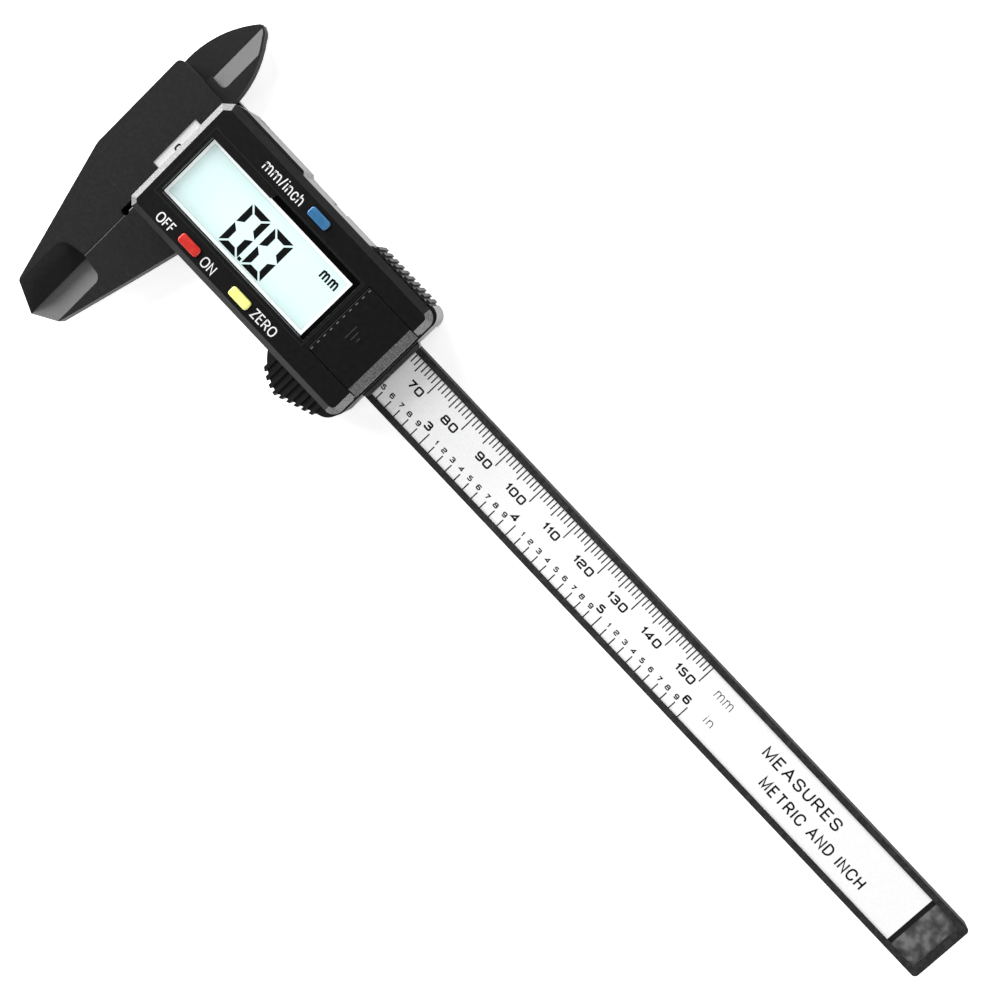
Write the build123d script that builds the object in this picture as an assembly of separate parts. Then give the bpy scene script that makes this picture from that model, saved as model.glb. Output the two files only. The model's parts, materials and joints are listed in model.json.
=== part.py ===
"""Digital caliper with a moulded composite beam: every separate piece, one STEP file each.

Millimetres. The beam runs along +X away from the fixed jaw, +Y points to the small inside
jaws and +Z to the side of the display. x = 0 is the plane where the closed jaws touch, y = 0
the beam's centre line and z = 0 the plane of the slider's back, which lies on the table.
"""

import os

from build123d import *

# Driving dimensions of the beam and its jaws.
beam_width = 15.0
beam_thickness = 4.0
beam_end = 223.1
jaw_reach = 46.8
inside_reach = 28.8

# Driving dimensions of the slider.
housing_length = 59.7
housing_low = -14.3
housing_high = 14.85
housing_shoulder = 15.5
housing_height = 14.5
back_thickness = 2.6
slide_gap = 0.2
side_gap = 0.15
wall = 1.3
draft = 1.2
jaw_gap = 0.05
ledge = 0.3
corner_radius = 2.4

# Heights, worked out from the back plane upwards.
beam_bottom = back_thickness + slide_gap
beam_top = beam_bottom + beam_thickness
board_bottom = beam_top + slide_gap
board_top = board_bottom + 1.0
seam = 12.6
cover_inside = 13.3
cover_chamfer = 1.4
half_beam = beam_width / 2
rail_inside = half_beam + side_gap

# The fixed block, the notch behind the measuring faces and the tips.
block_left = -14.1
block_top = 12.5
block_right = 1.2
shoulder_y = -11.6
tip_half_width = 6.0
tip_corner_y = -42.9
relief_y = -17.7
relief_depth = 1.1
relief_spot = (-0.3, -17.2)
bevel_width = 5.7
bevel_start = -29.5
bevel_fall = 0.9
bevel_edge_z = beam_bottom + 0.8

# The inside jaws: two leaves that lie one behind the other.
inside_edge = -7.4
fixed_leaf_top = beam_bottom + 3.0
leaf_bevel_width = 3.8
leaf_bevel_start = 14.2

# The silver scale on its circuit strip.
scale_left = -3.35
scale_right = 213.4
scale_width = 12.2
scale_recess = 1.4
strip_thickness = 0.95
label_thickness = 0.15
end_bar = 2.1

# The depth rod in its groove, and the stop under the beam's end.
groove_width = 4.4
groove_depth = 1.7
rod_width = 3.8
rod_bottom = 3.0
rod_top = 4.2
stop_length = 6.6
stop_screw_y = 5.0

# The display window and what lies under it.
window_left = 3.5
window_right = 44.4
window_low = -7.65
window_high = 7.1
window_step_x = 20.5
window_step = 1.55
panel_bottom = 10.9
panel_top = 12.6

# The buttons: centre of each, and the shape that they share.
button_length = 5.1
button_width = 2.1
button_top = 15.05
button_travel = 0.5
dome_top = 8.5
power_at = (15.25, -11.0)
zero_at = (29.7, -11.0)
unit_at = (29.5, 11.4)

# The battery and its sliding door.
cell_radius = 5.8
cell_height = 5.4
cell_at = (52.5, 0.8)
bay_floor = board_bottom + 0.8
cell_bottom = board_top
door_left = 46.1
door_low = -7.8
door_high = 9.4
door_thickness = 1.0
tongue = 0.6
tongue_bottom = seam + 0.15
tongue_top = seam + 0.6
door_slope = 2.1

# The grips.
grip_bottom = 1.2
thumb_top = 8.0
thumb_ridges = 9
thumb_pitch = 1.62
finger_ridges = 10
finger_pitch = 1.59

# Screws.
case_screw_spots = [(5.2, -11.2), (5.2, 12.0), (55.9, -11.4), (55.9, 12.0)]
board_screw_spots = [(22.6, -11.2), (22.0, 11.6)]


def block(x0, x1, y0, y1, z0, z1):
    """Box between two opposite corners."""
    size = Box(x1 - x0, y1 - y0, z1 - z0)
    return Pos((x0 + x1) / 2, (y0 + y1) / 2, (z0 + z1) / 2) * size


def pin(spot, radius, z0, z1):
    """Upright cylinder."""
    return Pos(spot[0], spot[1], (z0 + z1) / 2) * Cylinder(radius, z1 - z0)


def slab(face, z0, z1):
    """Flat outline in the XY plane raised to a plate between two heights."""
    return Pos(0, 0, z0) * extrude(face, z1 - z0)


def polygon(points):
    """Face inside a closed run of straight lines."""
    return make_face(Polyline(*points, close=True))


def rounded(face, spots, radius):
    """Face with the corners nearest to the given spots rounded."""
    corners = [face.vertices().sort_by_distance((x, y, 0))[0] for x, y in spots]
    return fillet(corners, radius)


def along_y(points, y0, y1):
    """Prism whose XZ section is given and which runs along Y."""
    section = Plane.XZ * polygon(points)
    return Pos(0, y1, 0) * extrude(section, y1 - y0)


def jaw_bevel(side, radius):
    """What is cut from a jaw's tip so that it thins towards the measuring face."""
    section = [
        (0, bevel_edge_z),
        (side * bevel_width, beam_top),
        (side * bevel_width, beam_top + 1),
        (-side, beam_top + 1),
        (-side, bevel_edge_z),
    ]
    corner = (side * bevel_width, bevel_start - bevel_fall)
    outline = polygon(
        [
            (-side, -jaw_reach - 1),
            (side * bevel_width, -jaw_reach - 1),
            corner,
            (0, bevel_start),
            (-side, bevel_start),
        ]
    )
    reach = slab(rounded(outline, [corner], radius), beam_bottom, beam_top + 1)
    return along_y(section, -jaw_reach - 1, bevel_start) & reach


def relief():
    """Round clearance where the measuring faces end, cut from both jaws."""
    return pin(relief_spot, 0.8, 0, beam_top + 1)


def fixed_jaw():
    """Block at the beam's end with the fixed outside jaw."""
    outline = polygon(
        [
            (block_left, block_top),
            (block_left, shoulder_y),
            (-tip_half_width, tip_corner_y),
            (0, -jaw_reach),
            (0, relief_y),
            (-relief_depth, relief_y),
            (-relief_depth, -half_beam),
            (block_right, -half_beam),
            (block_right, block_top),
        ]
    )
    outline = rounded(outline, [(block_left, block_top)], 1.3)
    outline = rounded(outline, [(-tip_half_width, tip_corner_y)], 1.5)
    outline = rounded(outline, [(block_left, shoulder_y)], 6.0)
    return slab(outline, beam_bottom, beam_top) - jaw_bevel(-1, 3.0) - relief()


def fixed_leaf():
    """Inside jaw of the beam, with a bevel that falls towards its measuring edge."""
    base = (-0.4, block_top - 1)
    shoulder = (-5.1, 27.2)
    tip = (inside_edge + 0.3, inside_reach)
    flank = ThreePointArc(base, (-1.3, 19.7), shoulder)
    nose = ThreePointArc(shoulder, (-6.0, 28.3), tip)
    edge = Polyline(tip, (inside_edge, inside_reach - 0.3), (inside_edge, block_top - 1), base)
    outline = make_face([flank, nose, edge])
    section = [
        (inside_edge - 1, beam_bottom + 0.6),
        (inside_edge, beam_bottom + 0.6),
        (inside_edge + leaf_bevel_width, fixed_leaf_top),
        (inside_edge + leaf_bevel_width, fixed_leaf_top + 1),
        (inside_edge - 1, fixed_leaf_top + 1),
    ]
    foot = (inside_edge + leaf_bevel_width, leaf_bevel_start)
    patch = polygon(
        [
            (inside_edge - 1, leaf_bevel_start),
            foot,
            (inside_edge + leaf_bevel_width, inside_reach + 1),
            (inside_edge - 1, inside_reach + 1),
        ]
    )
    patch = slab(rounded(patch, [foot], 1.3), beam_bottom, fixed_leaf_top + 1)
    rim = Pos(-0.4, -0.2, 0) * slab(outline, beam_bottom, fixed_leaf_top + 1)
    bevel = along_y(section, leaf_bevel_start, inside_reach + 1) & rim & patch
    return slab(outline, beam_bottom, fixed_leaf_top) - bevel


def beam():
    """Beam with the fixed jaws, the scale's recess and the depth rod's groove."""
    bar = block(0, beam_end, -half_beam, half_beam, beam_bottom, beam_top)
    body = fixed_jaw() + fixed_leaf() + bar
    half_scale = scale_width / 2 + 0.05
    recess = block(
        scale_left, scale_right, -half_scale, half_scale, beam_top - scale_recess, beam_top + 1
    )
    end_recess = block(
        scale_right, beam_end - end_bar, -half_scale, half_scale, beam_top - 0.4, beam_top + 1
    )
    half_groove = groove_width / 2
    groove = block(
        4.0, beam_end + 1, -half_groove, half_groove, beam_bottom - 1, beam_bottom + groove_depth
    )
    body = body - recess - end_recess - groove
    for spot in stop_screw_spots():
        body -= pin(spot, 0.8, beam_bottom - 1, beam_bottom + 2.2)
    ends = body.edges().filter_by(Axis.Z).filter_by_position(Axis.X, beam_end - 0.01, beam_end + 0.01)
    corners = [edge for edge in ends if abs(edge.center().Y) > half_beam - 0.01]
    return fillet(corners, 1.0)


def stop_screw_spots():
    """Where the two screws hold the end stop."""
    middle = beam_end - stop_length / 2
    return [(middle, -stop_screw_y), (middle, stop_screw_y)]


def stator_strip():
    """Long circuit strip that the slider's board reads."""
    floor = beam_top - scale_recess
    half = scale_width / 2
    return block(scale_left, scale_right, -half, half, floor, floor + strip_thickness)


def scale_label():
    """Printed scale glued on the strip, a little lower than the beam's rails."""
    top = beam_top - scale_recess + strip_thickness
    half = scale_width / 2
    return block(scale_left, scale_right, -half, half, top, top + label_thickness)


def countersunk(spot, z0, z1):
    """Hole through a plate for a countersunk screw put in from below."""
    cone = Pos(spot[0], spot[1], z0 + 0.6) * Cone(1.75, 0.9, 1.2)
    return cone + pin(spot, 0.9, z0, z1 + 1)


def end_stop():
    """Plate under the beam's end that keeps the slider on and guides the depth rod."""
    half = half_beam - 0.5
    plate = block(beam_end - stop_length, beam_end, -half, half, 0, beam_bottom)
    uprights = plate.edges().filter_by(Axis.Z)
    plate = chamfer(uprights, 0.8)
    for spot in stop_screw_spots():
        plate -= countersunk(spot, 0, beam_bottom)
    return plate


def stop_screw(spot):
    """Countersunk screw of the end stop."""
    head = Pos(spot[0], spot[1], 0.7) * Cone(1.6, 0.75, 1.1)
    slot = block(spot[0] - 1.1, spot[0] + 1.1, spot[1] - 0.2, spot[1] + 0.2, 0.0, 0.5)
    shank = pin(spot, 0.75, 1.2, beam_bottom + 2.0)
    return head + shank - slot


def depth_rod():
    """Rod that slides out of the beam's end, hooked into the slider's back."""
    half = rod_width / 2
    blade = block(6.0, beam_end, -half, half, rod_bottom, rod_top)
    foot = block(6.0, 12.0, -half, half, 1.4, rod_bottom)
    step = block(beam_end - 6.0, beam_end + 1, 0.6, half + 1, rod_bottom - 1, rod_top + 1)
    return blade + foot - step


def casing(far, upper_edge):
    """Outline of the casing, given its far end and its edge beside the inside jaws."""
    left = [(-0.25, 12.9), (-0.15, -12.9), (1.3, housing_low)]
    right = [(far, housing_low), (far, housing_high)]
    return rounded(polygon(left + right + upper_edge), right, corner_radius)


def cover_outline():
    """Outline of the cover where its slopes start."""
    return casing(housing_length, [(1.8, housing_high)])


def housing_outline():
    """Outline of the rear casing: a ledge at its far end, a shoulder beside the inside jaws."""
    shoulder = [(21.0, housing_high), (20.4, housing_shoulder), (4.2, housing_shoulder)]
    return casing(housing_length + ledge, shoulder + [(1.8, housing_high)])


def moving_jaw():
    """Outside jaw of the slider, in the same layer as the beam."""
    outline = polygon(
        [
            (jaw_gap, -half_beam - 2),
            (jaw_gap, -jaw_reach),
            (tip_half_width - 0.1, tip_corner_y),
            (10.4, -25.3),
            (13.1, housing_low),
            (13.1, -half_beam - 2),
        ]
    )
    outline = rounded(outline, [(10.4, -25.3)], 16.0)
    broken_edge = [
        (jaw_gap - 0.1, beam_top - 0.3),
        (jaw_gap + 0.3, beam_top + 0.1),
        (jaw_gap - 0.1, beam_top + 0.1),
    ]
    jaw = slab(outline, beam_bottom, beam_top) - along_y(broken_edge, -jaw_reach - 1, -half_beam)
    return jaw - jaw_bevel(1, 1.8) - relief()


def back_web():
    """Thin leaf behind the fixed block that ends in the moving inside jaw."""
    flank = ThreePointArc((-14.0, 12.0), (-12.8, 20.6), (-8.6, 28.3))
    nose = ThreePointArc((-8.6, 28.3), (-8.0, 28.7), (inside_edge - 0.2, inside_reach))
    rest = Polyline(
        (inside_edge - 0.2, inside_reach),
        (inside_edge - 0.2, 14.5),
        (3.0, 14.5),
        (3.0, -19.5),
        (-1.9, -19.5),
        (-1.9, -11.0),
        (-13.0, 4.0),
        (-14.0, 12.0),
    )
    return slab(make_face([flank, nose, rest]), 0, back_thickness)


def thumb_outline():
    """Rest for the thumb below the casing: a steep side, a crest and a long fall."""
    start = (39.4, housing_low)
    crest = (47.5, -20.0)
    fall = (56.6, -16.8)
    corner = (59.2, housing_low + 1)
    rise = ThreePointArc(start, (42.8, -18.0), crest)
    turn = ThreePointArc(fall, (58.2, -15.9), corner)
    closing = Polyline(corner, (39.4, housing_low + 1), start)
    return make_face([rise, Line(crest, fall), turn, closing])


def thumb_rest():
    """Thumb rest with its row of ridges, which run on over its upper side."""
    outline = thumb_outline()
    ridges = Part()
    for number in range(thumb_ridges):
        x = 42.35 + thumb_pitch * number
        ridges += block(x - 0.4, x + 0.4, -22.0, housing_low + 0.5, grip_bottom, thumb_top + 0.35)
    reach = slab(offset(outline, 0.6), 0, thumb_top + 1)
    return slab(outline, grip_bottom, thumb_top) + (ridges & reach)


def finger_grip():
    """Low pad on the casing's other side, ridged but for its far end, where it is thicker."""
    far = housing_length + ledge
    corner = (far, housing_high + 0.75)
    base = polygon(
        [
            (39.7, housing_high - 1),
            (39.7, housing_high - 0.15),
            (40.9, housing_high + 0.45),
            (56.7, housing_high + 0.45),
            (57.1, housing_high + 0.75),
            corner,
            (far, housing_high - corner_radius),
            (far - 1.0, housing_high - corner_radius),
            (far - 1.0, housing_high - 1),
        ]
    )
    pad = slab(rounded(base, [corner], corner_radius + 0.3), grip_bottom, seam - 0.3)
    for number in range(finger_ridges):
        x = 41.6 + finger_pitch * number
        pad += block(x - 0.4, x + 0.4, housing_high - 0.5, housing_high + 1.0, grip_bottom, seam)
    return pad


def battery_walls():
    """Walls and floor of the battery bay, bridging the beam."""
    outer = block(45.3, housing_length - 0.5, -6.5, 8.1, board_bottom, seam)
    inner = block(46.4, 58.7, -5.3, 6.9, bay_floor, seam + 1)
    slots = block(45, 46.5, -1.5, 1.5, board_top, board_top + 0.3)
    slots += block(45, 46.5, 5.9, 6.9, board_top, board_top + 0.3)
    return outer - inner - slots


def screw_hole(spot):
    """Hole with a counterbore through the slider's back and rail."""
    return pin(spot, 2.0, -1, 1.6) + pin(spot, 1.0, 0, seam)


def slider_body():
    """Rear casing of the slider with the moving jaws, rails and grips."""
    outline = housing_outline()
    shell = Pos(0, 0, seam) * extrude(outline, -seam, taper=draft)
    shell = chamfer(shell.faces().sort_by(Axis.Z)[0].edges(), 0.7)
    room = slab(offset(outline, -wall), board_bottom, seam + 1)
    channel = block(-1, housing_length + 1, -rail_inside, rail_inside, back_thickness, board_bottom)
    blade_room = block(-1, 2.2, 0, housing_shoulder + 1, back_thickness, board_bottom)
    side_room = block(-1, jaw_gap, -16, 0, back_thickness, board_bottom)
    body = shell - room - channel - blade_room - side_room
    body += moving_jaw() + back_web() + thumb_rest() + finger_grip() + battery_walls()
    lip = block(59.0, 61.0, -7.2, 8.3, board_bottom, 9.8)
    lip = fillet(lip.edges().filter_by(Axis.Z).group_by(Axis.X)[-1], 1.0)
    slope = [(58.0, board_bottom), (62.0, board_bottom), (62.0, 7.8), (60.2, 9.6), (58.0, 9.8)]
    body += lip & along_y(slope, -8, 9)
    body -= block(5.9, 12.1, -rod_width / 2 - 0.1, rod_width / 2 + 0.1, 1.4, back_thickness + 1)
    body -= block(11.5, 48.5, half_beam, rail_inside + 0.8, 3.6, 6.2)
    body -= block(5.0, 7.6, housing_high - 0.2, housing_shoulder + 1, 0.9, 2.4)
    body -= block(27.9, 31.3, housing_high - 0.5, housing_high + 1, -1, 6.0)
    for spot in case_screw_spots:
        body -= screw_hole(spot)
    for spot in board_screw_spots:
        body -= pin(spot, 0.75, 4.0, board_bottom + 1)
    return body


def gib_spring():
    """Bowed leaf spring that takes up the play on the beam's edge."""
    near = half_beam + 0.2
    inner = ThreePointArc((12.0, near + 0.5), (30.0, near), (48.0, near + 0.5))
    outer = ThreePointArc((48.0, near + 0.68), (30.0, near + 0.18), (12.0, near + 0.68))
    ends = [Line(inner @ 1, outer @ 0), Line(outer @ 1, inner @ 0)]
    return slab(make_face([inner, outer] + ends), 3.8, 6.0)


def case_screw(spot):
    """Pan head screw that holds the cover to the casing, put in from the back."""
    head = pin(spot, 1.8, 0.3, 1.6)
    cross = block(spot[0] - 1.0, spot[0] + 1.0, spot[1] - 0.2, spot[1] + 0.2, 0, 0.9)
    cross += block(spot[0] - 0.2, spot[0] + 0.2, spot[1] - 1.0, spot[1] + 1.0, 0, 0.9)
    return head + pin(spot, 0.92, 1.6, 11.0) - cross


def window_outline():
    """Opening for the display, wider along part of its upper edge."""
    return polygon(
        [
            (window_left, window_low),
            (window_right, window_low),
            (window_right, window_high + window_step),
            (window_step_x, window_high + window_step),
            (window_step_x - 0.6, window_high),
            (window_left, window_high),
        ]
    )


def button_outline(spot, extra):
    """Rounded outline of a button's cap, larger by extra all round."""
    cap = RectangleRounded(button_length + 2 * extra, button_width + 2 * extra, 0.6)
    return Pos(*spot) * cap


def edge_runs(inside, outside):
    """Spans in Y along the door's two edges, given how far they reach in and out."""
    return [(door_low - outside, door_low + inside), (door_high - inside, door_high + outside)]


def door_slot():
    """Room for the battery door, its tongues and the battery under it."""
    plate_bottom = housing_height - door_thickness
    left = door_left - 0.1
    right = housing_length + 1
    room = block(left, right, door_low - 0.18, door_high + 0.18, plate_bottom - 0.1, 15)
    for near, far in edge_runs(1.0, 0.1):
        room += block(left, right, near, far, seam, plate_bottom)
    for near, far in edge_runs(1.0, tongue + 0.1):
        room += block(left, right, near, far, seam, tongue_top + 0.1)
    return room + block(46.4, 58.7, -5.3, 6.9, seam - 1, 15)


def front_cover():
    """Shallow glossy cover with the window, the button holes and the door's slot."""
    slope_bottom = housing_height - cover_chamfer
    cover = slab(cover_outline(), seam, slope_bottom)
    cover += Pos(0, 0, slope_bottom) * extrude(cover_outline(), cover_chamfer, taper=45)
    cavity = block(wall, 45.8, housing_low + wall, housing_high - wall, seam - 1, cover_inside)
    cover -= cavity
    for spot in case_screw_spots:
        cover += pin(spot, 1.5, board_bottom + 0.2, cover_inside)
    cover -= slab(window_outline(), seam, housing_height + 1)
    for spot in (power_at, zero_at, unit_at):
        cover -= slab(button_outline(spot, 0.12), seam, housing_height + 1)
    cover -= door_slot()
    for spot in case_screw_spots:
        cover -= pin(spot, 0.95, board_bottom, 11.5)
    return cover


def display_window():
    """Clear plate under the cover's opening."""
    return block(2.6, 45.6, -8.6, 9.1, 12.7, cover_inside)


def lcd_panel():
    """Glass of the display."""
    return block(3.0, 45.1, -9.0, 9.2, panel_bottom, panel_top)


def lcd_reflector():
    """White sheet behind the glass."""
    return block(4.0, 44.0, -6.8, 7.0, panel_bottom - 0.2, panel_bottom)


def strip_bars(extra):
    """The two elastomer strips' places, with some extra room all round."""
    bars = Part()
    for y in (-7.9, 8.1):
        bars += block(
            4.2 - extra, 42.4 + extra, y - 0.7 - extra, y + 0.7 + extra, board_top, panel_bottom
        )
    return bars


def lcd_holder():
    """Frame that stands on the board, carries the glass and locates the strips."""
    frame = block(2.8, 43.2, -9.2, 9.4, board_top, panel_bottom - 0.2)
    middle = block(5.0, 42.0, -6.2, 6.4, board_top - 1, panel_bottom)
    return frame - middle - strip_bars(0.05)


def circuit_board():
    """Board that faces the scale's strip, with its corners cut for the screw posts."""
    board = block(1.6, 45.2, housing_low + wall + 0.1, housing_high - wall - 0.1, board_bottom, board_top)
    board -= block(0, 7.4, -15, -9.3, 6, 9)
    board -= block(0, 7.4, 10.1, 15, 6, 9)
    for spot in board_screw_spots:
        board -= pin(spot, 0.8, 6, 9)
    return board


def controller_chip():
    """Measuring chip under its drop of resin."""
    drop = pin((24.0, 0.2), 4.2, board_top, board_top + 1.3)
    return fillet(drop.faces().sort_by(Axis.Z)[-1].edges(), 1.0)


def quartz_crystal():
    """Can of the clock crystal, lying on the board."""
    can = Pos(34.5, -3.8, board_top + 1.05) * Rot(0, 90, 0) * Cylinder(1.0, 6.0)
    legs = block(37.4, 39.6, -4.3, -4.0, board_top, board_top + 0.3)
    legs += block(37.4, 39.6, -3.6, -3.3, board_top, board_top + 0.3)
    posts = block(37.4, 37.6, -4.3, -4.0, board_top, board_top + 1.1)
    posts += block(37.4, 37.6, -3.6, -3.3, board_top, board_top + 1.1)
    return can + legs + posts


def board_components():
    """Small resistors and capacitors around the chip."""
    spots = [(14.0, -4.0), (14.0, -1.0), (14.0, 2.0), (14.0, 5.0), (33.0, 2.0), (36.0, 2.0), (39.0, 2.0)]
    parts = [block(x - 0.8, x + 0.8, y - 0.45, y + 0.45, board_top, board_top + 0.6) for x, y in spots]
    return Compound(parts)


def board_screw(spot):
    """Short screw that holds the board to the rail."""
    head = pin(spot, 1.4, board_top, board_top + 0.9)
    slot = block(spot[0] - 1.6, spot[0] + 1.6, spot[1] - 0.2, spot[1] + 0.2, board_top + 0.5, 9.5)
    return head + pin(spot, 0.7, 4.4, board_top) - slot


def switch_dome(spot):
    """Sprung metal dome under a button."""
    cap_height = dome_top - board_top
    radius = (1.6**2 + cap_height**2) / (2 * cap_height)
    ball = Pos(spot[0], spot[1], dome_top - radius) * Sphere(radius)
    return ball & block(spot[0] - 2, spot[0] + 2, spot[1] - 2, spot[1] + 2, board_top, dome_top + 1)


def button(spot):
    """Button: cap above, flange under the cover, stem down to the switch."""
    cap = slab(button_outline(spot, 0), cover_inside - 0.2, button_top)
    cap = chamfer(cap.faces().sort_by(Axis.Z)[-1].edges(), 0.2)
    flange = block(spot[0] - 3.2, spot[0] + 3.2, spot[1] - 1.5, spot[1] + 1.5, 12.3, cover_inside - 0.1)
    stem = pin(spot, 0.9, dome_top + button_travel + 0.05, 12.3)
    return cap + flange + stem


def battery():
    """Button cell with the step round its upper rim."""
    can = pin(cell_at, cell_radius, cell_bottom + 0.4, cell_bottom + cell_height)
    can = fillet(can.faces().sort_by(Axis.Z)[-1].edges(), 0.4)
    return can + pin(cell_at, cell_radius - 0.9, cell_bottom, cell_bottom + 0.4)


def negative_contact():
    """Strip under the battery with a tab that runs on to the board."""
    strip = block(46.4, 57.0, -1.2, 1.2, bay_floor, cell_bottom)
    riser = block(46.4, 46.6, -1.2, 1.2, bay_floor, board_top + 0.2)
    return strip + riser + block(43.5, 46.6, -1.2, 1.2, board_top, board_top + 0.2)


def positive_contact():
    """Strip beside the battery with a tab that runs on to the board."""
    side = block(47.8, 56.0, 6.68, 6.88, board_top, 12.3)
    return side + block(43.5, 48.2, 6.1, 6.88, board_top, board_top + 0.2)


def battery_door():
    """Sliding door: plate and two skirts with tongues that run in the cover's grooves."""
    bottom = housing_height - door_thickness
    slope = [
        (door_left - 1, seam),
        (door_left - 1, housing_height),
        (housing_length - door_slope, housing_height),
        (housing_length - 0.5, bottom + 0.25),
        (housing_length, bottom),
        (housing_length, seam),
    ]
    plate = block(door_left, housing_length, door_low, door_high, bottom, housing_height)
    door = plate & along_y(slope, door_low, door_high)
    for near, far in edge_runs(0.9, 0):
        door += block(door_left, housing_length, near, far, tongue_bottom, bottom)
    for near, far in edge_runs(0.9, tongue):
        door += block(door_left, housing_length, near, far, tongue_bottom, tongue_top)
    return door


os.makedirs("parts", exist_ok=True)
pieces = {
    "beam": beam(),
    "stator_strip": stator_strip(),
    "scale_label": scale_label(),
    "end_stop": end_stop(),
    "end_stop_screws": Compound([stop_screw(spot) for spot in stop_screw_spots()]),
    "slider_body": slider_body(),
    "front_cover": front_cover(),
    "display_window": display_window(),
    "lcd_panel": lcd_panel(),
    "lcd_reflector": lcd_reflector(),
    "lcd_holder": lcd_holder(),
    "contact_strips": strip_bars(0),
    "circuit_board": circuit_board(),
    "controller_chip": controller_chip(),
    "quartz_crystal": quartz_crystal(),
    "board_components": board_components(),
    "board_screws": Compound([board_screw(spot) for spot in board_screw_spots]),
    "switch_domes": Compound([switch_dome(spot) for spot in (power_at, zero_at, unit_at)]),
    "battery": battery(),
    "negative_contact": negative_contact(),
    "positive_contact": positive_contact(),
    "gib_spring": gib_spring(),
    "depth_rod": depth_rod(),
    "case_screws": Compound([case_screw(spot) for spot in case_screw_spots]),
    "power_button": button(power_at),
    "zero_button": button(zero_at),
    "unit_button": button(unit_at),
    "battery_door": battery_door(),
}
for name, piece in pieces.items():
    export_step(piece, f"parts/{name}.step")
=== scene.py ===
"""Digital caliper: finish, printed scale, legends, display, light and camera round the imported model.

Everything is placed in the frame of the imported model, in metres; MM turns millimetres into metres.
"""

import json
import math

import bmesh
import bpy
from mathutils import Matrix, Vector

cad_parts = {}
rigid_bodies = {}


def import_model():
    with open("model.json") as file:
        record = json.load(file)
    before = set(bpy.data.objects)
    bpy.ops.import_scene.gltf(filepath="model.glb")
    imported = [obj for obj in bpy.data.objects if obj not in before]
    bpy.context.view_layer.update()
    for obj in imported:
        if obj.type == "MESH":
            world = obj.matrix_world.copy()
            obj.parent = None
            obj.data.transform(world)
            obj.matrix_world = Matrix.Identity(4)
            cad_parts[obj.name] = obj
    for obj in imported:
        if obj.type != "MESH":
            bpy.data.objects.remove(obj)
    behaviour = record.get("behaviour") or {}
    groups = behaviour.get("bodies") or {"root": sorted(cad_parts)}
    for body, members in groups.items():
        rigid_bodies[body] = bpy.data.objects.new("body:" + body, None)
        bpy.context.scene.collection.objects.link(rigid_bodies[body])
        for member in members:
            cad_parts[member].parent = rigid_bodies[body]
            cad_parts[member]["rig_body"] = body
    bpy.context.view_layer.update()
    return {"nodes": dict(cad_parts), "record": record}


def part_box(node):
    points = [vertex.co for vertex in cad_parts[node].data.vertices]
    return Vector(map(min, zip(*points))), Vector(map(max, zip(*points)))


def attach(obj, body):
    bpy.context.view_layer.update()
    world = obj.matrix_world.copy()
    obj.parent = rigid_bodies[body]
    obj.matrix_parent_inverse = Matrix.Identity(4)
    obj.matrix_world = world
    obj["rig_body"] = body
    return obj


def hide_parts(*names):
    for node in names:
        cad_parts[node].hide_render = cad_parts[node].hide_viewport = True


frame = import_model()

MM = 0.001
INCH = 25.4

# The printed scale: its zero, its edges and the lengths of its marks, in millimetres.
label_low, label_high = [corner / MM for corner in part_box("scale_label")]
scale_zero = -1.4
ink_thickness = 0.02
mark_width = 0.27
mm_count = 150
tenth_count = 60
mm_marks = {1: 1.95, 5: 2.75, 10: 4.0}
inch_marks = {1: 1.8, 10: 2.87}

# Where one finish gives way to another, or where painted light begins, in millimetres.
recess_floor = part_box("beam")[1].z / MM - 0.4
rails_start = 1.3
outside_bevels_y = -28
inside_bevels_y = 14
contact_line_y = -8
casing_lip_x = 60.1
casing_lip_top = 10
thumb_rest_x = (40, 57)
cover_slopes_x = (2.5, 57)
cover_slopes_z = 12.7

# The display: the glass's visible field and the digits on it.
cover_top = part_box("front_cover")[1].z / MM
glass_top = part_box("lcd_panel")[1].z / MM
field = (3.6, 43.1, -7.5, 7.05)
field_border = 0.7
digit_size = (5.25, 10.2)
digit_spots = ((17.95, -6.4), (24.5, -6.4))
bar_width = 1.4
bar_gap = 0.28

# Fine relief: the frame round the window, the door's dashes and its arrow. The door's dashes, arrow and edge
# line are painted light grey: painted highlights.
window_frame = (2.6, 45.0, -8.6, 9.05)
door_edge = (46.14, 46.26, -7.6, 9.2)
dash_x = 46.55
dash_low = -7.3
dash_pitch = 1.79
arrow_y = 0.5


def new_tree(name):
    """Empty node material and its parts: material, nodes, links, shader."""
    material = bpy.data.materials.new(name)
    material.use_nodes = True
    tree = material.node_tree
    return material, tree.nodes, tree.links, tree.nodes["Principled BSDF"]


def noise(nodes, links, scale, detail=3.0, stretch=(1, 1, 1)):
    """Noise texture in the piece's own coordinates, scale in features per metre."""
    place = nodes.new("ShaderNodeTexCoord")
    mapping = nodes.new("ShaderNodeMapping")
    mapping.inputs["Scale"].default_value = stretch
    texture = nodes.new("ShaderNodeTexNoise")
    texture.inputs["Scale"].default_value = scale
    texture.inputs["Detail"].default_value = detail
    links.new(place.outputs["Object"], mapping.inputs["Vector"])
    links.new(mapping.outputs["Vector"], texture.inputs["Vector"])
    return texture.outputs["Fac"]


def ramp(nodes, links, source, stops):
    """Colour ramp over a value: stops are (position, (r, g, b))."""
    made = nodes.new("ShaderNodeValToRGB")
    line = made.color_ramp
    line.elements[0].position = stops[0][0]
    line.elements[0].color = (*stops[0][1], 1)
    line.elements[1].position = stops[-1][0]
    line.elements[1].color = (*stops[-1][1], 1)
    for position, colour in stops[1:-1]:
        line.elements.new(position).color = (*colour, 1)
    links.new(source, made.inputs["Fac"])
    return made.outputs["Color"]


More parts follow.
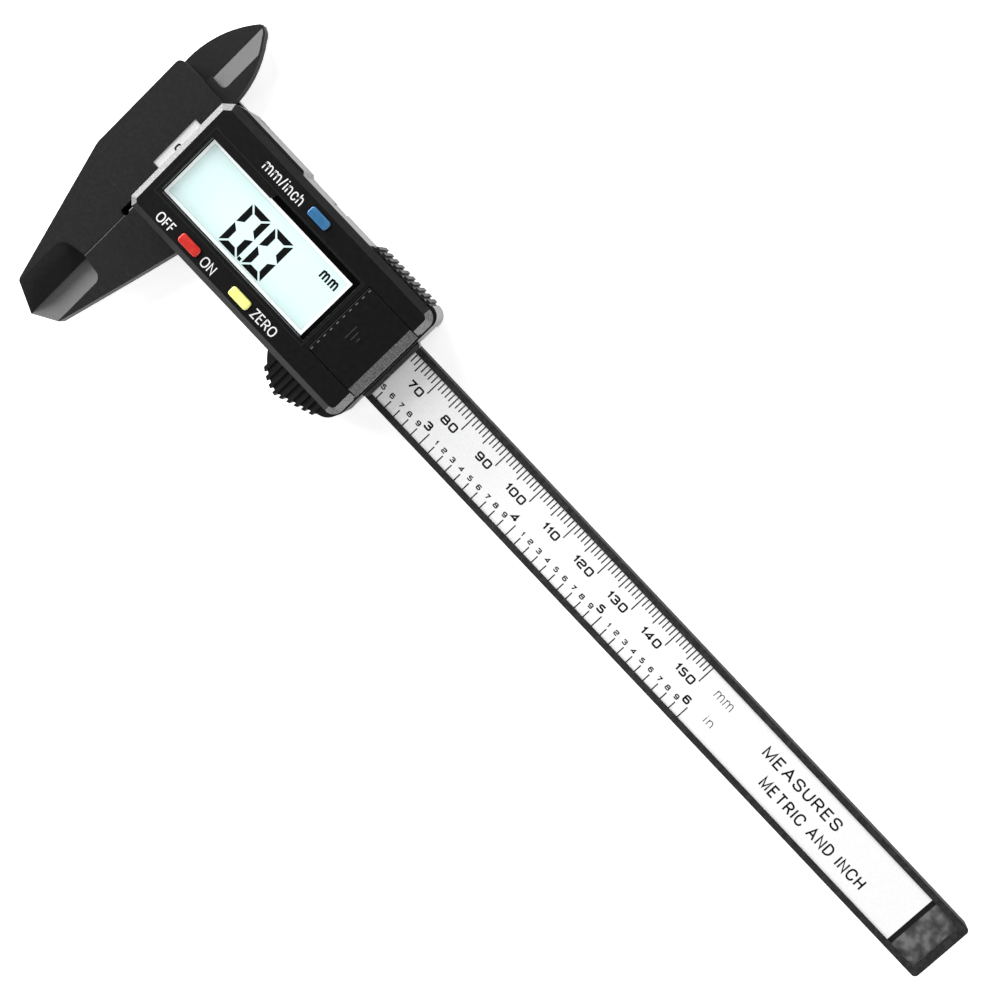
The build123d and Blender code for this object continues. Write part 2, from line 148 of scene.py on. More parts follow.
def bump(nodes, links, shader, source, depth, strength=1.0):
    """Relief from a value, depth in millimetres."""
    made = nodes.new("ShaderNodeBump")
    made.inputs["Distance"].default_value = depth * MM
    made.inputs["Strength"].default_value = strength
    links.new(source, made.inputs["Height"])
    links.new(made.outputs["Normal"], shader.inputs["Normal"])


def grey(value):
    """Neutral colour."""
    return (value, value, value)


def plastic(name, stops, tone_scale, roughness, grain_scale, grain_depth, specular=0.5):
    """Moulded plastic: tones that drift slowly, roughness that follows and a fine grain."""
    material, nodes, links, shader = new_tree(name)
    tone = noise(nodes, links, tone_scale)
    links.new(ramp(nodes, links, tone, stops), shader.inputs["Base Color"])
    rough = ramp(nodes, links, tone, [(0.3, grey(roughness[0])), (0.7, grey(roughness[1]))])
    links.new(rough, shader.inputs["Roughness"])
    shader.inputs["Specular IOR Level"].default_value = specular
    bump(nodes, links, shader, noise(nodes, links, grain_scale), grain_depth)
    return material


def two_tone(name, dark, light, *finish):
    """Plastic that drifts between two tones."""
    return plastic(name, [(0.3, dark), (0.7, light)], *finish)


def composite():
    """Charcoal fibre-filled plastic of the beam and the rear casing, with a few pale flecks."""
    stops = [(0.0, grey(0.008)), (0.5, grey(0.01)), (0.74, grey(0.013)), (0.77, grey(0.04))]
    return plastic("composite", stops, 1500, (0.45, 0.55), 5000, 0.012, 0.22)


def dull():
    """A lighter, matt grey of the composite: the beam's rails and sides, and the lip beside the battery
    door.
    """
    stops = [(0.3, grey(0.02)), (0.5, grey(0.028)), (0.68, grey(0.042))]
    return plastic("dull", stops, 1100, (0.6, 0.7), 5000, 0.015, 0.08)


def polished():
    """The composite smooth and glossy from the mould and a little lighter, for the casing's upright walls on
    the +Y side; the lighter grey is painted light.
    """
    return two_tone("polished", grey(0.02), grey(0.028), 1500, (0.28, 0.36), 5000, 0.004, 0.75)


def satin():
    """The composite where a bevel was moulded against a smoother, stippled steel face."""
    stops = [(0.4, grey(0.01)), (0.5, grey(0.014)), (0.6, grey(0.02))]
    return plastic("satin", stops, 4200, (0.45, 0.52), 6000, 0.012, 0.3)


def painted_highlight_stipple():
    """The same plastic with a matt finish of fine grains, painted light grey: a painted highlight on the
    slopes it is laid on.
    """
    stops = [(0.4, grey(0.07)), (0.5, grey(0.12)), (0.6, grey(0.19))]
    return plastic("painted_highlight_stipple", stops, 4200, (0.4, 0.5), 6000, 0.012, 0.6)


def cover_plastic():
    """Satin black plastic of the cover and the battery door."""
    return two_tone("cover_plastic", grey(0.004), grey(0.0055), 900, (0.36, 0.4), 6000, 0.003, 0.24)


def button_plastic(name, dark, light):
    """Coloured plastic of one button."""
    return two_tone(name, dark, light, 900, (0.35, 0.5), 4000, 0.008)


def label_film():
    """Silver film of the scale: fine metal flakes, lighter towards the beam's far end as a painted
    reflection, with a painted glow on top.
    """
    material, nodes, links, shader = new_tree("label_film")
    place = nodes.new("ShaderNodeTexCoord")
    split = nodes.new("ShaderNodeSeparateXYZ")
    along = nodes.new("ShaderNodeMapRange")
    along.inputs["From Min"].default_value = 0.055
    along.inputs["From Max"].default_value = 0.16
    links.new(place.outputs["Object"], split.inputs["Vector"])
    links.new(split.outputs["X"], along.inputs["Value"])
    # Painted reflection: the film's grey rises along the beam, away from the casing.
    painted_reflection_ramp = ramp(nodes, links, along.outputs["Result"], [(0, grey(0.76)), (0.5, grey(0.84))])
    flakes = noise(nodes, links, 9000, 2.0)
    fine = ramp(nodes, links, flakes, [(0.35, grey(0.86)), (0.65, grey(1.0))])
    mix = nodes.new("ShaderNodeMix")
    mix.data_type = "RGBA"
    mix.blend_type = "MULTIPLY"
    mix.inputs["Factor"].default_value = 1.0
    links.new(painted_reflection_ramp, mix.inputs["A"])
    links.new(fine, mix.inputs["B"])
    links.new(mix.outputs["Result"], shader.inputs["Base Color"])
    # Painted glow: the film's own colour is also given off as light.
    links.new(mix.outputs["Result"], shader.inputs["Emission Color"])
    shader.inputs["Emission Strength"].default_value = 0.24
    shader.inputs["Roughness"].default_value = 0.5
    bump(nodes, links, shader, flakes, 0.004)
    return material


def end_plate():
    """Mottled grey, scuffed plastic in the recess at the beam's end."""
    stops = [(0.35, grey(0.045)), (0.5, grey(0.09)), (0.62, grey(0.16))]
    return plastic("end_plate", stops, 450, (0.5, 0.7), 4500, 0.015)


def ink(name, colour):
    """Flat colour, a little uneven: printed ink, the frame round the window, and painted highlights on the
    battery door and along the jaws' contact line.
    """
    lighter = tuple(min(1.0, part * 1.15 + 0.002) for part in colour)
    return two_tone(name, colour, lighter, 2500, (0.5, 0.65), 8000, 0.002, 0.2)


def metal(name, colour, roughness, scale, stretch):
    """Metal with fine drawn lines."""
    material, nodes, links, shader = new_tree(name)
    lines = noise(nodes, links, scale, 2.0, stretch)
    dark = tuple(part * 0.8 for part in colour)
    links.new(ramp(nodes, links, lines, [(0.3, dark), (0.7, colour)]), shader.inputs["Base Color"])
    rough = ramp(nodes, links, lines, [(0.3, grey(roughness)), (0.7, grey(roughness + 0.15))])
    links.new(rough, shader.inputs["Roughness"])
    shader.inputs["Metallic"].default_value = 1.0
    bump(nodes, links, shader, lines, 0.004)
    return material


def clear_window():
    """Clear window over the display, with very faint smears."""
    material, nodes, links, shader = new_tree("clear_window")
    smears = noise(nodes, links, 60)
    rough = ramp(nodes, links, smears, [(0.4, grey(0.04)), (0.7, grey(0.12))])
    links.new(rough, shader.inputs["Roughness"])
    shader.inputs["Base Color"].default_value = (0.01, 0.01, 0.01, 1)
    shader.inputs["Specular IOR Level"].default_value = 0.15
    shader.inputs["Alpha"].default_value = 0.04
    return material


def display_field(name, colour, glow):
    """Reflective layer of the display: pale, with the faintest cloudiness and a painted glow of its own."""
    darker = tuple(part * 0.97 for part in colour)
    material, nodes, links, shader = new_tree(name)
    cloud = ramp(nodes, links, noise(nodes, links, 200), [(0.3, darker), (0.7, colour)])
    links.new(cloud, shader.inputs["Base Color"])
    # Painted glow: the layer's colour is also given off as light.
    links.new(cloud, shader.inputs["Emission Color"])
    shader.inputs["Emission Strength"].default_value = glow
    shader.inputs["Roughness"].default_value = 0.4
    return material


materials = {
    "composite": composite(),
    "cover_plastic": cover_plastic(),
    "label_film": label_film(),
    "board_green": two_tone(
        "board_green", (0.01, 0.07, 0.03), (0.02, 0.12, 0.05), 900, (0.3, 0.5), 3000, 0.01
    ),
    "red_plastic": button_plastic("red_plastic", (0.5, 0.018, 0.012), (0.62, 0.026, 0.018)),
    "yellow_plastic": button_plastic("yellow_plastic", (0.83, 0.85, 0.22), (0.9, 0.9, 0.32)),
    "blue_plastic": button_plastic("blue_plastic", (0.024, 0.12, 0.27), (0.036, 0.17, 0.35)),
    "clear_window": clear_window(),
    "lcd_glass": two_tone("lcd_glass", grey(0.001), grey(0.002), 300, (0.1, 0.2), 900, 0.001),
    "white_film": two_tone("white_film", grey(0.7), grey(0.85), 500, (0.5, 0.7), 3000, 0.003),
    "white_plastic": two_tone("white_plastic", grey(0.6), grey(0.7), 500, (0.4, 0.6), 3000, 0.01),
    "elastomer": two_tone("elastomer", (0.5, 0.2, 0.2), (0.7, 0.35, 0.35), 3000, (0.5, 0.7), 3000, 0.01),
    "black_resin": two_tone("black_resin", grey(0.004), grey(0.01), 400, (0.1, 0.2), 900, 0.01),
    "steel": metal("steel", (0.56, 0.57, 0.58), 0.25, 3000, (1, 6, 1)),
    "cell_steel": metal("cell_steel", (0.7, 0.71, 0.72), 0.15, 3000, (1, 6, 1)),
    "bronze": metal("bronze", (0.6, 0.38, 0.16), 0.3, 3000, (1, 6, 1)),
}
end_plate_material = end_plate()
painted_highlight_stipple_material = painted_highlight_stipple()
satin_material = satin()
dull_material = dull()
gloss_and_painted_light_material = polished()
frame_ink = ink("frame_ink", grey(0.012))
# The next two greys are painted highlights on the battery door's marks and along the jaws' contact line.
painted_relief_highlight = ink("painted_relief_highlight", grey(0.035))
painted_glint = ink("painted_glint", grey(0.13))
black_ink = ink("black_ink", grey(0.003))
white_ink = ink("white_ink", grey(0.75))
display_ink = two_tone("display_ink", grey(0.002), grey(0.004), 2500, (0.5, 0.65), 8000, 0.001, 0.1)
white_border = display_field("white_border", (0.85, 0.92, 0.91), 0.6)
pale_field = display_field("pale_field", (0.5, 0.64, 0.628), 0.85)
border_line = display_field("border_line", (0.55, 0.68, 0.68), 0.3)


def link(name, mesh, body):
    """New object for a mesh, riding on a body."""
    piece = bpy.data.objects.new(name, mesh)
    bpy.context.scene.collection.objects.link(piece)
    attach(piece, body)
    return piece


def tidy_mesh(mesh):
    """Joins the split corners of an imported mesh and melts its flat triangles together."""
    work = bmesh.new()
    work.from_mesh(mesh)
    bmesh.ops.remove_doubles(work, verts=work.verts, dist=0.002 * MM)
    bmesh.ops.dissolve_limit(work, angle_limit=math.radians(0.5), verts=work.verts, edges=work.edges)
    work.to_mesh(mesh)
    work.free()
    if "custom_normal" in mesh.attributes:
        mesh.attributes.remove(mesh.attributes["custom_normal"])


def crease_flats(mesh):
    """Marks the edges that a flat face shares with a slope as sharp, besides the steep ones."""
    mesh.set_sharp_from_angle(angle=math.radians(40))
    work = bmesh.new()
    work.from_mesh(mesh)
    for edge in work.edges:
        if len(edge.link_faces) == 2 and edge.calc_face_angle() > math.radians(12):
            if max(abs(face.normal.z) for face in edge.link_faces) > 0.99:
                edge.smooth = False
    work.to_mesh(mesh)
    work.free()


def soft_copy(node, width, segments=2):
    """Copy of a CAD node with its sharp edges rounded; it stands for the node."""
    source = frame["nodes"][node]
    slot = next(part["material_slot"] for part in frame["record"]["subparts"] if part["node"] == node)
    mesh = source.data.copy()
    mesh.name = node + "_fine"
    tidy_mesh(mesh)
    mesh.materials.clear()
    mesh.materials.append(materials[slot])
    mesh.shade_smooth()
    crease_flats(mesh)
    piece = link(node + "_fine", mesh, source["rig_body"])
    rounding = piece.modifiers.new("rounding", "BEVEL")
    rounding.width = width * MM
    rounding.segments = segments
    rounding.limit_method = "ANGLE"
    rounding.angle_limit = math.radians(30)
    rounding.harden_normals = True
    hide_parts(node)
    return piece


def split_across(piece, x):
    """Cuts the faces of a piece along an upright plane, so that each side can be painted."""
    work = bmesh.new()
    work.from_mesh(piece.data)
    everything = work.verts[:] + work.edges[:] + work.faces[:]
    bmesh.ops.bisect_plane(work, geom=everything, plane_co=(x * MM, 0, 0), plane_no=(1, 0, 0))
    work.to_mesh(piece.data)
    work.free()


def paint_faces(piece, material, wanted):
    """Gives the faces whose centre and normal are wanted another material."""
    piece.data.materials.append(material)
    number = len(piece.data.materials) - 1
    for face in piece.data.polygons:
        if wanted(face.center / MM, face.normal):
            face.material_index = number


def plates(name, outlines, bottom, thickness, material, body):
    """One mesh of flat upright prisms over closed outlines, in millimetres."""
    work = bmesh.new()
    for outline in outlines:
        low = [work.verts.new((x * MM, y * MM, bottom * MM)) for x, y in outline]
        high = [work.verts.new((x * MM, y * MM, (bottom + thickness) * MM)) for x, y in outline]
        work.faces.new(high)
        work.faces.new(low[::-1])
        for i in range(len(outline)):
            j = (i + 1) % len(outline)
            work.faces.new((low[i], low[j], high[j], high[i]))
    return finish_piece(name, work, material, body)


def rectangle(x0, x1, y0, y1):
    """Outline of an upright rectangle."""
    return [(x0, y0), (x1, y0), (x1, y1), (x0, y1)]


def scale_mark(x, low, high):
    """Outline of one mark centred on x."""
    return rectangle(x - mark_width / 2, x + mark_width / 2, low, high)


def scale_marks():
    """Outlines of the millimetre marks on one edge and the inch marks on the other."""
    outlines = []
    for number in range(mm_count + 1):
        length = mm_marks[max(step for step in mm_marks if number % step == 0)]
        outlines.append(scale_mark(scale_zero + number, label_high.y - length, label_high.y))
    for number in range(tenth_count + 1):
        x = scale_zero + number * INCH / 10
        length = inch_marks[max(step for step in inch_marks if number % step == 0)]
        outlines.append(scale_mark(x, label_low.y, label_low.y + length))
    return outlines


# Characters drawn with strokes of even width. Each has its width as a share of its height,
# whether its corners are rounded, and its strokes on a unit square.
characters = {
    "0": (0.97, True, [[(0, 0), (1, 0), (1, 1), (0, 1), (0, 0)]]),
    "1": (0.46, False, [[(0, 0.72), (1, 1), (1, 0)]]),
    "2": (0.97, True, [[(0, 0.76), (0, 1), (1, 1), (1, 0.5), (0, 0.5), (0, 0), (1, 0)]]),
    "3": (0.97, True, [[(0, 0.8), (0, 1), (0.95, 1), (0.95, 0.53), (0.3, 0.53)],
                       [(0.3, 0.53), (1, 0.53), (1, 0), (0, 0), (0, 0.2)]]),
    "4": (1.0, False, [[(0.74, 0), (0.74, 1), (0, 0.27), (1, 0.27)]]),
    "5": (0.93, True, [[(0.95, 1), (0.06, 1), (0.06, 0.56), (1, 0.56), (1, 0), (0, 0), (0, 0.2)]]),
    "6": (0.93, True, [[(0.95, 0.82), (0.95, 1), (0, 1), (0, 0), (1, 0), (1, 0.56), (0, 0.56)]]),
    "7": (0.86, False, [[(0, 1), (1, 1), (0.3, 0)]]),
    "8": (1.03, True, [[(0, 0), (1, 0), (1, 0.52), (0, 0.52), (0, 0)],
                       [(0.06, 0.52), (0.94, 0.52), (0.94, 1), (0.06, 1), (0.06, 0.52)]]),
    "9": (0.93, True, [[(0.05, 0.18), (0.05, 0), (1, 0), (1, 1), (0, 1), (0, 0.44), (1, 0.44)]]),
    "A": (0.9, False, [[(0, 0), (0.5, 1), (1, 0)], [(0.2, 0.36), (0.8, 0.36)]]),
    "C": (0.85, True, [[(1, 0.68), (1, 1), (0, 1), (0, 0), (1, 0), (1, 0.32)]]),
    "D": (0.8, True, [[(0, 0), (0, 1)], [(0, 1), (1, 1), (1, 0), (0, 0)]]),
    "E": (0.68, False, [[(1, 1), (0, 1), (0, 0), (1, 0)], [(0, 0.52), (0.9, 0.52)]]),
    "F": (0.62, False, [[(0, 0), (0, 1), (1, 1)], [(0, 0.5), (0.88, 0.5)]]),
    "H": (0.76, False, [[(0, 0), (0, 1)], [(1, 0), (1, 1)], [(0, 0.52), (1, 0.52)]]),
    "I": (0.14, False, [[(0.5, 0), (0.5, 1)]]),
    "M": (0.88, False, [[(0, 0), (0, 1), (0.5, 0.1), (1, 1), (1, 0)]]),
    "N": (0.76, False, [[(0, 0), (0, 1), (1, 0), (1, 1)]]),
    "O": (0.92, True, [[(0, 0), (1, 0), (1, 1), (0, 1), (0, 0)]]),
    "R": (0.78, True, [[(0, 0), (0, 1)], [(0, 1), (0.95, 1), (0.95, 0.47), (0, 0.47)],
                       [(0.55, 0.47), (1, 0)]]),
    "S": (0.76, True, [[(1, 0.72), (1, 1), (0, 1), (0, 0.52), (1, 0.48), (1, 0), (0, 0), (0, 0.28)]]),
    "T": (0.78, False, [[(0, 1), (1, 1)], [(0.5, 1), (0.5, 0)]]),
    "U": (0.76, True, [[(0, 1), (0, 0), (1, 0), (1, 1)]]),
    "Z": (0.74, False, [[(0, 1), (1, 1), (0, 0), (1, 0)]]),
    "c": (0.5, True, [[(1, 0.5), (1, 0.74), (0, 0.74), (0, 0), (1, 0), (1, 0.24)]]),
    "h": (0.48, True, [[(0, 0), (0, 1)], [(0, 0.4), (0, 0.74), (1, 0.74), (1, 0)]]),
    "i": (0.14, False, [[(0.5, 0), (0.5, 0.72)], [(0.5, 0.88), (0.5, 1)]]),
    "m": (0.85, True, [[(0, 0), (0, 0.76)], [(0, 0.4), (0, 0.74), (0.5, 0.74), (0.5, 0)],
                       [(0.5, 0.4), (0.5, 0.74), (1, 0.74), (1, 0)]]),
    "n": (0.48, True, [[(0, 0), (0, 0.76)], [(0, 0.4), (0, 0.74), (1, 0.74), (1, 0)]]),
    "/": (0.3, False, [[(0, 0), (1, 1)]]),
    " ": (0.3, False, []),
}


def round_corners(run, radius):
    """The run of points with each inner corner replaced by a short curve."""
    closed = run[0] == run[-1]
    last = len(run) - 1
    rounded = [] if closed else [run[0]]
    for i in range(0 if closed else 1, last):
        corner = run[i]
        before = (run[i - 1] if i else run[last - 1]) - corner
        after = run[i + 1] - corner
        first_share = 1 if i == 1 and not closed else 0.5
        last_share = 1 if i + 1 == last and not closed else 0.5
        start = corner + before.normalized() * min(radius, before.length * first_share)
        end = corner + after.normalized() * min(radius, after.length * last_share)
        for step in range(5):
            t = step / 4
            rounded.append(start * (1 - t) ** 2 + corner * 2 * t * (1 - t) + end * t**2)
    rounded.append(rounded[0] if closed else run[last])
    return [p for p, q in zip(rounded, rounded[1:]) if (p - q).length > 0.001] + [rounded[-1]]


def band_sides(run, width):
    """Left and right edge of a band of even width along a run of points, mitred at the corners."""
    closed = (run[0] - run[-1]).length < 0.001
    points = run[:-1] if closed else run
    count = len(points)
    sides = []
    for i, point in enumerate(points):
        arrive = (point - points[i - 1]).normalized() if i or closed else None
        leave = (points[(i + 1) % count] - point).normalized() if i + 1 < count or closed else None
        arrive = arrive or leave
        leave = leave or arrive
        ahead = (arrive + leave).normalized()
        across = Vector((-ahead.y, ahead.x))
        reach = width / 2 / max(0.45, across.dot(Vector((-arrive.y, arrive.x))))
        sides.append((point + across * reach, point - across * reach))
    return sides, closed


def add_band(work, run, width, bottom, thickness):
    """Closed band of even width along a run of points, in millimetres."""
    sides, closed = band_sides(run, width)
    rows = []
    for left, right in sides:
        corners = [(left, bottom), (left, bottom + thickness), (right, bottom + thickness), (right, bottom)]
        rows.append([work.verts.new((p.x * MM, p.y * MM, z * MM)) for p, z in corners])
    pairs = list(zip(rows, rows[1:])) + ([(rows[-1], rows[0])] if closed else [])
    for here, there in pairs:
        for i in range(4):
            j = (i + 1) % 4
            work.faces.new((here[i], here[j], there[j], there[i]))
    if not closed:
        work.faces.new(rows[0][::-1])
        work.faces.new(rows[-1])


def words_width(words, height, gap):
    """Length of a line of characters."""
    return sum(characters[letter][0] * height + gap for letter in words) - gap


def add_words(work, words, left, base, height, stroke, bottom, gap, stretch=1.0, corner=0.42):
    """Line of characters as bands; height is their full height, stretch widens the line."""
    edge = left
    for letter in words:
        share, soft, strokes = characters[letter]
        width = share * height * stretch
        for points in strokes:
            run = [
                Vector((edge + stroke / 2 + x * (width - stroke), base + stroke / 2 + y * (height - stroke)))
                for x, y in points
            ]
            line = round_corners(run, corner * height) if soft else run
            add_band(work, line, stroke, bottom, ink_thickness)
        edge += width + gap * stretch


def finish_piece(name, work, material, body):
    """Turns a bmesh into a piece."""
    bmesh.ops.recalc_face_normals(work, faces=work.faces)
    mesh = bpy.data.meshes.new(name)
    work.to_mesh(mesh)
    work.free()
    mesh.materials.append(material)
    return link(name, mesh, body)


def lettering(name, words, box, stroke, bottom, material, body, gap=0.2, corner=0.42):
    """Line of characters that fills a box (left, right, low, high)."""
    left, right, low, high = box
    height = high - low
    work = bmesh.new()
    stretch = (right - left) / words_width(words, height, gap * height)
    add_words(work, words, left, low, height, stroke, bottom, gap * height, stretch, corner)
    return finish_piece(name, work, material, body)


def scale_numbers():
    """All the numbers of the scale: tens of millimetres, inches and tenths of an inch."""
    work = bmesh.new()

    def number(text, right, base, height, stroke, gap):
        left = right - words_width(text, height, gap)
        add_words(work, text, left, base, height, stroke, ink_bottom, gap, corner=0.2)

    number("0", -0.75, -1.2, 1.7, 0.4, 0)
    for tens in range(1, mm_count // 10 + 1):
        number(str(10 * tens), scale_zero + 10 * tens - 0.52, 0.23, 1.84, 0.4, 0.36)
    for tenths in range(1, tenth_count + 1):
        x = scale_zero + tenths * INCH / 10
        if tenths % 10:
            number(str(tenths % 10), x - 0.05, -3.93, 1.12, 0.26, 0)
        else:
            number(str(tenths // 10), x - 0.42, -3.1, 1.77, 0.4, 0)
    return finish_piece("scale_numbers", work, black_ink, "beam")


def digit_bars(left, base):
    """Outlines of the six lit bars of a display zero."""
    width, height = digit_size
    slant = bar_gap
    end = [
        (slant, height),
        (width - slant, height),
        (width - slant - bar_width, height - bar_width),
        (slant + bar_width, height - bar_width),
    ]
    side = [
        (0, height - slant),
        (0, height / 2 + slant / 2),
        (bar_width, height / 2 + slant / 2 + 0.75 * bar_width),
        (bar_width, height - slant - bar_width),
    ]
    bars = [end, [(x, height - y) for x, y in end]]
    for flip_x in (False, True):
        for flip_y in (False, True):
            bars.append([
                (width - x if flip_x else x, height - y if flip_y else y)
                for x, y in side
            ])
    return [[(left + x, base + y) for x, y in bar] for bar in bars]


def ring(outer, width):
    """Quads of a frame just inside a rectangle (left, right, low, high)."""
    x0, x1, y0, y1 = outer
    return [
        rectangle(x0, x1, y0, y0 + width),
        rectangle(x0, x1, y1 - width, y1),
        rectangle(x0, x0 + width, y0 + width, y1 - width),
        rectangle(x1 - width, x1, y0 + width, y1 - width),
    ]


def inset(outer, distance):
    """Rectangle smaller by a distance all round."""
    x0, x1, y0, y1 = outer
    return (x0 + distance, x1 - distance, y0 + distance, y1 - distance)


# Finish for every CAD node, then rounded copies of the ones that show.
for part in frame["record"]["subparts"]:
    node = frame["nodes"][part["node"]]
    node.data.materials.clear()
    node.data.materials.append(materials[part["material_slot"]])

beam = soft_copy("beam", 0.2)
split_across(beam, rails_start)
paint_faces(
    beam,
    dull_material,
    lambda centre, normal: abs(normal.z) < 0.3 or (centre.x > rails_start and centre.z > label_high.z),
)
paint_faces(
    beam,
    end_plate_material,
    lambda centre, normal: centre.x > label_high.x and normal.z > 0.9 and centre.z < recess_floor + 0.2,
)


def outside(value, limits):
    """True below the lower limit and above the upper one."""
    return value < limits[0] or value > limits[1]


def on_bevel(centre, normal):
    """True on the bevels of the jaws' tips."""
    return 0.4 < normal.z < 0.95 and (centre.y < outside_bevels_y or centre.y > inside_bevels_y)


paint_faces(beam, satin_material, on_bevel)
rear = soft_copy("slider_body", 0.18)
paint_faces(rear, satin_material, on_bevel)
paint_faces(
    rear,
    dull_material,
    lambda centre, normal: centre.x > casing_lip_x and normal.z > 0.3 and centre.z < casing_lip_top,
)
# The moving jaw's broken edge along the contact line is painted light grey: a painted highlight.
paint_faces(
    rear,
    painted_glint,
    lambda centre, normal: centre.y < contact_line_y and normal.x < -0.5 and normal.z > 0.5,
)
# The casing's +Y walls get a glossier, lighter grey; the lighter grey is painted light.
paint_faces(
    rear,
    gloss_and_painted_light_material,
    lambda centre, normal: abs(normal.z) < 0.3 and centre.y > 0 and outside(centre.x, thumb_rest_x),
)
cover = soft_copy("front_cover", 0.15)
# The cover's end slopes are painted light grey: a painted highlight.
paint_faces(
    cover,
    painted_highlight_stipple_material,
    lambda centre, normal: 0.3 < normal.z < 0.9
    and centre.z > cover_slopes_z
    and outside(centre.x, cover_slopes_x),
)
door = soft_copy("battery_door", 0.12)
# The door's sloped end is painted light grey: a painted highlight.
paint_faces(
    door,
    painted_highlight_stipple_material,
    lambda centre, normal: 0.3 < normal.z < 0.98 and centre.x > cover_slopes_x[1],
)
soft_copy("end_stop", 0.2)
for name in ("power_button", "zero_button", "unit_button"):
    soft_copy(name, 0.22, 3)

# The printed scale.
ink_bottom = label_high.z - ink_thickness / 2
plates("scale_marks", scale_marks(), ink_bottom, ink_thickness, black_ink, "beam")
scale_numbers()
for name, (words, box, stroke) in {
    "unit_mm": ("mm", (152.7, 157.4, 2.15, 4.4), 0.17),
    "unit_inch": ("in", (155.0, 157.2, -3.0, -1.1), 0.17),
    "title_upper": ("MEASURES", (168.0, 190.0, 1.1, 3.75), 0.4),
    "title_lower": ("METRIC AND INCH", (172.1, 202.0, -3.65, -1.0), 0.4),
}.items():
    lettering(name, words, box, stroke, ink_bottom, black_ink, "beam")

# The display.
layer = 0.03
line_width = 0.12
inner = inset(field, field_border)
body = "slider"
# The display's border, line and field carry a painted glow.
plates("display_border", ring(field, field_border), glass_top, layer, white_border, body)
plates("display_line", ring(inner, line_width), glass_top, layer, border_line, body)
pale = [rectangle(*inset(inner, line_width))]
plates("display_field", pale, glass_top, layer, pale_field, body)
bars = [bar for spot in digit_spots for bar in digit_bars(*spot)]
bars.append(rectangle(23.35, 24.1, -6.3, -5.55))
plates("display_digits", bars, glass_top + layer, ink_thickness, display_ink, body)
unit_box = (37.1, 41.5, 3.05, 5.7)
lettering("display_unit", "mm", unit_box, 0.44, glass_top + layer, display_ink, body, 0.14)

# Fine relief on the cover and on the battery door. The door's marks are painted light grey: painted
# highlights.
relief_bottom = cover_top - 0.02
plates("window_frame", ring(window_frame, 0.16), relief_bottom, 0.06, frame_ink, body)
dashes = [
    rectangle(dash_x, dash_x + 0.22, y - 0.3, y + 0.3)
    for y in (dash_low + dash_pitch * number for number in range(10))
]
plates("door_edge", [rectangle(*door_edge)], relief_bottom, 0.05, painted_relief_highlight, "battery_door")
plates("door_dashes", dashes, relief_bottom, 0.07, painted_glint, "battery_door")
arrow = [
    rectangle(x, x + 0.2, arrow_y - length / 2, arrow_y + length / 2)
    for x, length in ((49.75, 3.3), (50.8, 2.2), (51.85, 1.0))
]
plates("door_arrow", arrow, relief_bottom, 0.07, painted_relief_highlight, "battery_door")

# The bare floor of the recess between the scale and the end plate.
gap = rectangle(label_high.x, label_high.x + 1.2, label_low.y, label_high.y)
plates("end_gap", [gap], recess_floor, ink_thickness, materials["composite"], "beam")

# Legends beside the buttons.
legends = {
    "legend_unit": ("mm/inch", (14.4, 25.0, 9.95, 12.5)),
    "legend_off": ("OFF", (6.5, 10.9, -12.4, -10.2)),
    "legend_on": ("ON", (18.95, 22.4, -12.25, -10.0)),
    "legend_zero": ("ZERO", (33.35, 39.7, -12.0, -9.8)),
}
for name, (words, box) in legends.items():
    lettering(name, words, box, 0.27, cover_top - ink_thickness / 2, white_ink, body, 0.14)


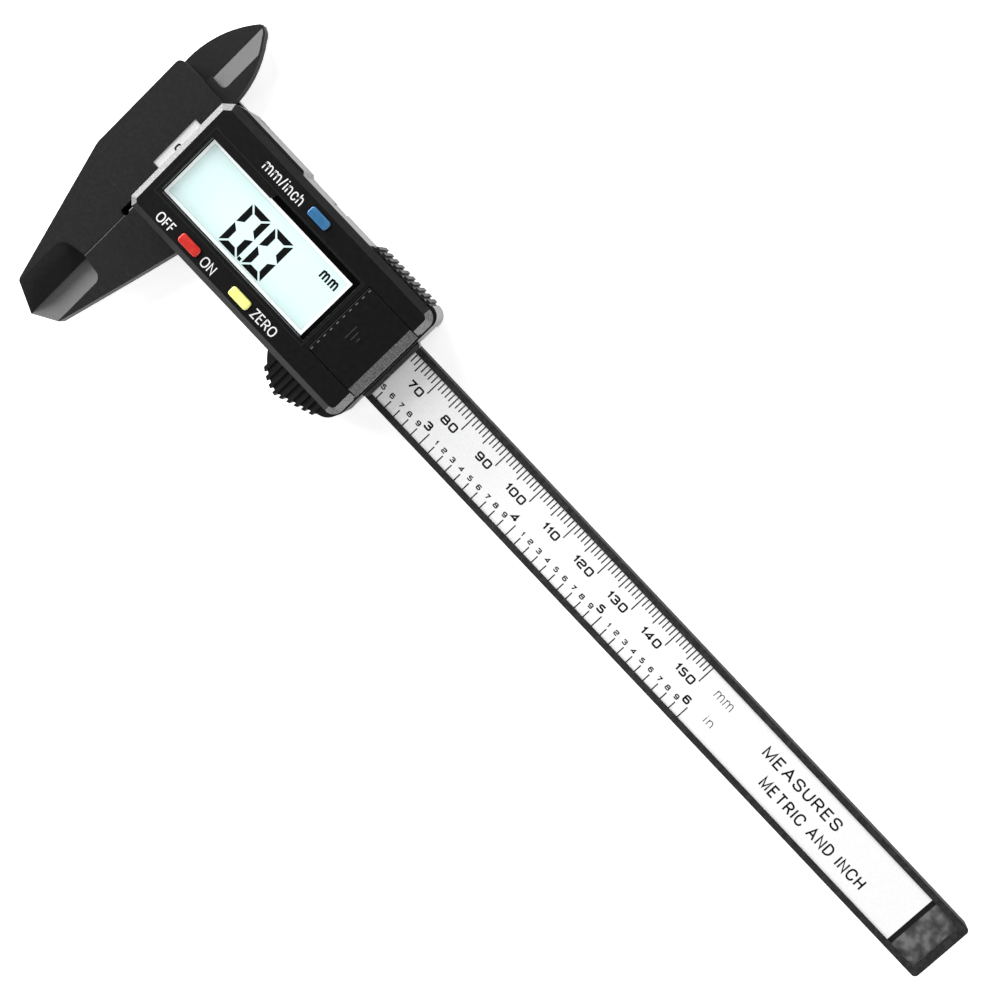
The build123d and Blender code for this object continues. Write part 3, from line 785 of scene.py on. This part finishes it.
def floor():
    """Pale floor under the caliper."""
    bpy.ops.mesh.primitive_plane_add(size=40, location=(0.1, 0, -0.02 * MM))
    plane = bpy.context.object
    plane.name = "floor"
    material, nodes, links, shader = new_tree("floor_paper")
    paper = ramp(nodes, links, noise(nodes, links, 300), [(0.3, grey(0.88)), (0.7, grey(0.9))])
    links.new(paper, shader.inputs["Base Color"])
    links.new(paper, shader.inputs["Emission Color"])
    shader.inputs["Emission Strength"].default_value = 0.75
    shader.inputs["Roughness"].default_value = 0.9
    shader.inputs["Specular IOR Level"].default_value = 0.1
    plane.data.materials.append(material)


def soft_light(name, spot, aim, size, power):
    """Square soft box that faces a point."""
    data = bpy.data.lights.new(name, "AREA")
    data.shape = "RECTANGLE"
    data.size, data.size_y = size
    data.energy = power
    lamp = bpy.data.objects.new(name, data)
    lamp.location = spot
    lamp.rotation_euler = (Vector(aim) - Vector(spot)).to_track_quat("-Z", "Y").to_euler()
    bpy.context.scene.collection.objects.link(lamp)


def studio():
    """Soft boxes all round, none straight above, and a dim surrounding."""
    middle = (0.1, 0, 0)
    soft_light("left_box", (-0.75, 0, 0.55), middle, (1.0, 0.5), 10)
    soft_light("right_strip", (0.95, 0, 0.1), middle, (0.9, 0.16), 4.5)
    soft_light("upper_box", (0.1, 0.85, 0.6), middle, (1.2, 0.4), 5)
    soft_light("lower_box", (0.1, -0.85, 0.6), middle, (1.2, 0.4), 5)
    soft_light("low_strip", (-0.6, 0.0, 0.1), (0, 0, 0.014), (0.8, 0.16), 9)
    world = bpy.data.worlds.new("studio")
    world.use_nodes = True
    world.node_tree.nodes["Background"].inputs["Color"].default_value = (0.9, 0.95, 1, 1)
    world.node_tree.nodes["Background"].inputs["Strength"].default_value = 0.04
    bpy.context.scene.world = world


def camera():
    """Camera almost straight above; turn is the angle of the picture's right side from +X."""
    spot = Vector((88.32, 52.65, 386.5)) * MM
    aim = Vector((94.39, -2.93, 0.0)) * MM
    turn = math.radians(47.0)
    ahead = (aim - spot).normalized()
    side = Vector((math.cos(turn), math.sin(turn), 0))
    side = (side - ahead * side.dot(ahead)).normalized()
    upward = side.cross(ahead)
    data = bpy.data.cameras.new("camera")
    data.sensor_width = 36
    data.lens = 68.33
    data.clip_start = 0.01
    taker = bpy.data.objects.new("camera", data)
    taker.matrix_world = Matrix.Translation(spot) @ Matrix((side, upward, -ahead)).transposed().to_4x4()
    bpy.context.scene.collection.objects.link(taker)
    bpy.context.scene.camera = taker


floor()
studio()
camera()
bpy.context.scene.view_settings.view_transform = "Standard"
